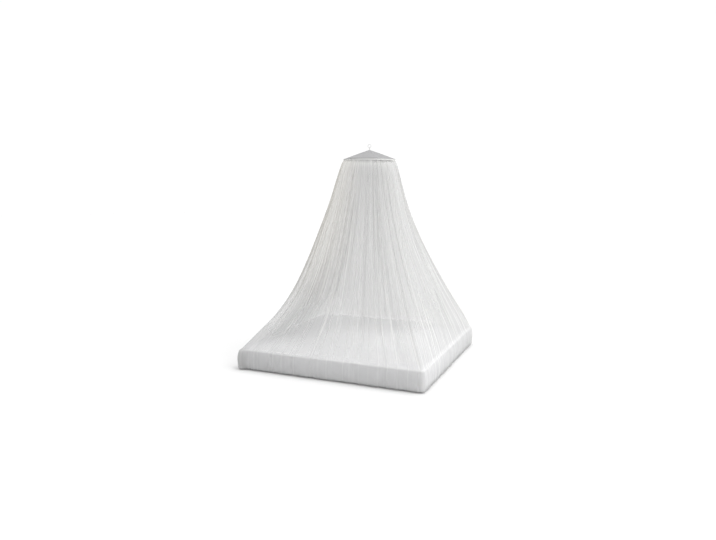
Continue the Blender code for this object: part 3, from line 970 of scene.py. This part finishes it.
def add_rim_tape(finish):
    """The binding: a tape folded over the hoop, its lower edge puckered where the gathers pull.

    Its profile is an arc round the hoop's wire and a straight fall that leans out. Returns the
    distance out and the height of its seam.
    """
    rng = np.random.default_rng(TAPE_SEED)
    share = np.linspace(0, 1, RIM_COLUMNS, endpoint=False)
    skin = BAND_HIGH[0] - HOOP_CENTRE[0] - HOOP_RADIUS
    arc_out, arc_height = round_hoop(skin, np.linspace(*TAPE_TURNS, TAPE_ROWS[0]))
    fall = np.linspace(0, 1, TAPE_ROWS[1] + 1)[1:]
    out = np.append(arc_out, HOOP_RADIUS + skin + TAPE_FLARE * fall)[:, None]
    height = np.append(arc_height, mix(HOOP_CENTRE[2], BAND_LOW[2], fall))[:, None]
    low = np.append(np.zeros_like(arc_out), fall)[:, None]
    puckers, _ = gathers(rng, PUCKERS, share, np.full((1, 1), 0.5))
    out = out + PUCKER_SIZE[0] * puckers * low
    height = height + PUCKER_SIZE[1] * puckers * low
    made = surface("rim_tape", about_hoop(out, height, share), finish)
    wall = made.modifiers.new("thickness", "SOLIDIFY")
    wall.thickness = TAPE_THICKNESS
    wall.offset = -1.0
    stands_for(made, "rim_band")
    seam_out = HOOP_RADIUS + skin + TAPE_SEAM * TAPE_FLARE + 2 * SEWING_THREAD
    return seam_out, mix(HOOP_CENTRE[2], BAND_LOW[2], TAPE_SEAM)


def tube_round(path, out, axis, width):
    """A tube round a closed path that turns about an axis: out points away from its centre.

    width is the tube's radius by place along the path and turn round it. Each point lies that
    far from the path, out by the cosine of its turn and along the axis by the sine.
    """
    turn = np.linspace(0, 2 * np.pi, width.shape[1], endpoint=False)[None, :, None]
    spread = out[:, None] * np.cos(turn) + axis * np.sin(turn)
    return path[:, None] + spread * width[..., None]


def add_seam(name, out, height, finish, slot):
    """A running stitch round the hoop's axis: one thread that dips into the cloth and out again.

    Its distance out and its thickness follow the size of a sine with a half wave a stitch.
    """
    count = round(2 * math.pi * out / STITCH)
    share = np.linspace(0, 1, STITCH_STEPS * count, endpoint=False)
    bump = np.abs(np.sin(np.pi * count * share))
    path = about_hoop(out + SEWING_THREAD * (1.2 * bump - 0.9), height, share)
    thick = SEWING_THREAD * (0.5 + 0.5 * bump)
    width = np.broadcast_to(thick[:, None], (len(share), SEAM_SIDES))
    outward = at_heights(heading(360 * share), 0.0)
    points = tube_round(path, outward, np.array([0, 0, 1]), width)
    made = surface(name, points, finish, joined=(True, True))
    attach(made, "root")


def add_hanging_loop(finish):
    """A three-strand cord bent into an upright loop on the crown's tip.

    The path is two half circles joined by straight runs; the cord's radius has three lobes
    that turn as they run along it.
    """
    thick, across, tall = (LOOP_HIGH - LOOP_LOW) / 2
    bend = across - thick
    rise = tall - across
    ends = np.cumsum([0, math.pi * bend, 2 * rise, math.pi * bend, 2 * rise])
    run = np.linspace(0, ends[-1], CORD_STEPS, endpoint=False)
    turn = np.interp(run, ends, np.pi * np.array([0, 1, 1, 2, 2]))
    lift = np.interp(run, ends, rise * np.array([1, 1, -1, -1, 1]))
    nothing = np.zeros_like(run)
    out = np.stack([nothing, np.cos(turn), np.sin(turn)], -1)
    middle = (LOOP_LOW + LOOP_HIGH) / 2
    path = middle + out * bend + np.stack([nothing, nothing, lift], -1)
    around = np.linspace(0, 2 * np.pi, CORD_SIDES, endpoint=False)
    twist = CORD_TURNS * 2 * np.pi * run[:, None] / ends[-1]
    lobes = np.abs(np.cos(CORD_STRANDS / 2 * (around - twist)))
    width = thick * (1 - CORD_GROOVE + CORD_GROOVE * lobes)
    points = tube_round(path, out, np.array([1, 0, 0]), width)
    made = surface("loop_cord", points, finish, joined=(True, True))
    stands_for(made, "hanging_loop")


def add_hanging_ring(finish):
    """A round wire ring that stands upright and faces the foot end.

    Its path is a circle, and its thickness has a bell curve over the weld at its lowest point.
    """
    across, wire, _ = (RING_HIGH - RING_LOW) / 2
    radius = across - wire
    turn = np.linspace(0, 2 * np.pi, RING_STEPS, endpoint=False)
    out = np.stack([np.cos(turn), np.zeros_like(turn), np.sin(turn)], -1)
    weld = 1 + WELD * np.exp(-(((turn - 1.5 * np.pi) / WELD_WIDTH) ** 2))
    width = np.broadcast_to(RING_WIRE * wire * weld[:, None], (RING_STEPS, RING_SIDES))
    path = (RING_LOW + RING_HIGH) / 2 + out * radius
    points = tube_round(path, out, np.array([0, -1, 0]), width)
    made = surface("wire_ring", points, finish, joined=(True, True))
    stands_for(made, "hanging_ring")


# Stage

FLOOR_HALF = 40.0
FLOOR_HEIGHT = -0.0008  # just under the net
BEAM = math.radians(70)  # how wide the near softbox shines
STUDIO_LIGHT, STUDIO_SEEN = 0.50, 1.02  # how bright the white studio is as a light and to the eye
CAMERA_PLACE = (2.519, -6.079, 1.841)
CAMERA_TILT = math.radians(82.6)  # up from straight down
CAMERA_TURN = math.radians(23.2)  # to the left of straight back
CAMERA_LENS = 29.56  # in millimetres, for Blender's usual sensor of 36 mm


def add_stage(finish):
    """A level square floor."""
    mesh = bpy.data.meshes.new("floor")
    ends = (-FLOOR_HALF, FLOOR_HALF)
    corners = [(x, y, FLOOR_HEIGHT) for x in ends for y in ends]
    mesh.from_pydata(corners, [], [(0, 2, 3, 1)])
    piece("floor", mesh, finish)


def add_lamp(name, data, place):
    """A light at that place, turned so that it shines at the middle of the floor."""
    lamp = bpy.data.objects.new(name, data)
    x, y, z = place
    lamp.location = place
    lamp.rotation_euler = (math.atan2(math.hypot(x, y), z), 0.0, math.atan2(y, x) + math.pi / 2)
    lamp.visible_camera = False
    scene.collection.objects.link(lamp)


def add_sun(name, place, strength, width):
    """A far softbox in the direction of that place, as wide in the sky as that many degrees."""
    data = bpy.data.lights.new(name, "SUN")
    data.energy = strength
    data.angle = math.radians(width)
    add_lamp(name, data, place)


def add_softbox(name, place, power, side):
    """A near square softbox. Its narrow beam lights the mattress and little of the floor."""
    data = bpy.data.lights.new(name, "AREA")
    data.energy = power
    data.size = side
    data.spread = BEAM
    add_lamp(name, data, place)


def add_world():
    """A white studio all round, dimmer as a light than it looks."""
    world = bpy.data.worlds.new("white studio")
    world.use_nodes = True
    tree = world.node_tree
    tree.nodes.clear()
    to_eye = add_node(tree, "LightPath").outputs["Is Camera Ray"]
    strength = ranged(tree, to_eye, STUDIO_LIGHT, STUDIO_SEEN)
    glow = add_node(tree, "Background", {"Color": colour("#FFFFFF")}, {"Strength": strength})
    add_node(tree, "OutputWorld", links={"Surface": glow.outputs[0]})
    scene.world = world


def add_camera():
    """Stands at the foot end, a little to the right, at eye height, and looks slightly down."""
    data = bpy.data.cameras.new("camera")
    data.lens = CAMERA_LENS
    camera = bpy.data.objects.new("camera", data)
    camera.location = CAMERA_PLACE
    camera.rotation_euler = (CAMERA_TILT, 0.0, CAMERA_TURN)
    scene.collection.objects.link(camera)
    scene.camera = camera


scene.view_settings.view_transform = "Standard"
add_camera()
add_stage(floor_paint())
add_sun("softbox overhead", (0.0, 0.20, 1.0), 2.15, 60)
add_sun("softbox on the right", (1.0, 0.15, 1.2), 1.5, 50)
add_softbox("softbox low on the right", (3.5, -2.6, 0.6), 1.8, 1.2)
add_world()

add_mattress(mattress_cotton())
add_net(netting())
crown_seam = add_crown(crown_polyester())
tape_seam = add_rim_tape(binding_cotton())
sewing_thread = sewing_polyester()
add_seam("crown_seam", *crown_seam, sewing_thread, "crown_cloth")
add_seam("tape_seam", *tape_seam, sewing_thread, "binding")
add_hanging_loop(cord_polyester())
add_hanging_ring(ring_enamel())
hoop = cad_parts["hoop"]  # keeps its CAD shape
hoop.data.materials.clear()
hoop.data.materials.append(rod_plastic())
